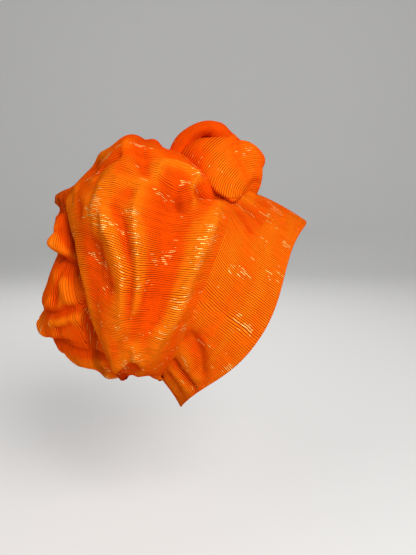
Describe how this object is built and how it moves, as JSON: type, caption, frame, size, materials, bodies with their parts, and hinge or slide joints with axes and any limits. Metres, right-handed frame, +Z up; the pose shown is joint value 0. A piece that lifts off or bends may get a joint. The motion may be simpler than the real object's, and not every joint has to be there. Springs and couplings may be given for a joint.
{
  "type": "turban",
  "caption": "Ready-made slouchy turban in ribbed stretch knit: wide smooth band, full draped bag behind it and a wound knot with a loop at the top.",
  "frame": {"origin": "centre of the head opening, halfway between the band's front tip and its nape tip", "axes": "+X towards the wearer's face, +Y towards the wearer's left, +Z up"},
  "size_m": [0.2638, 0.2143, 0.2789],
  "materials": {
    "orange_metallic_knit": "fine ribbed stretch knit in orange with yellow metallic thread"
  },
  "bodies": {
    "root": {"brim_band": "orange_metallic_knit", "crown_bag": "orange_metallic_knit", "knot_roll": "orange_metallic_knit", "knot_loop": "orange_metallic_knit"}
  },
  "joints": []
}
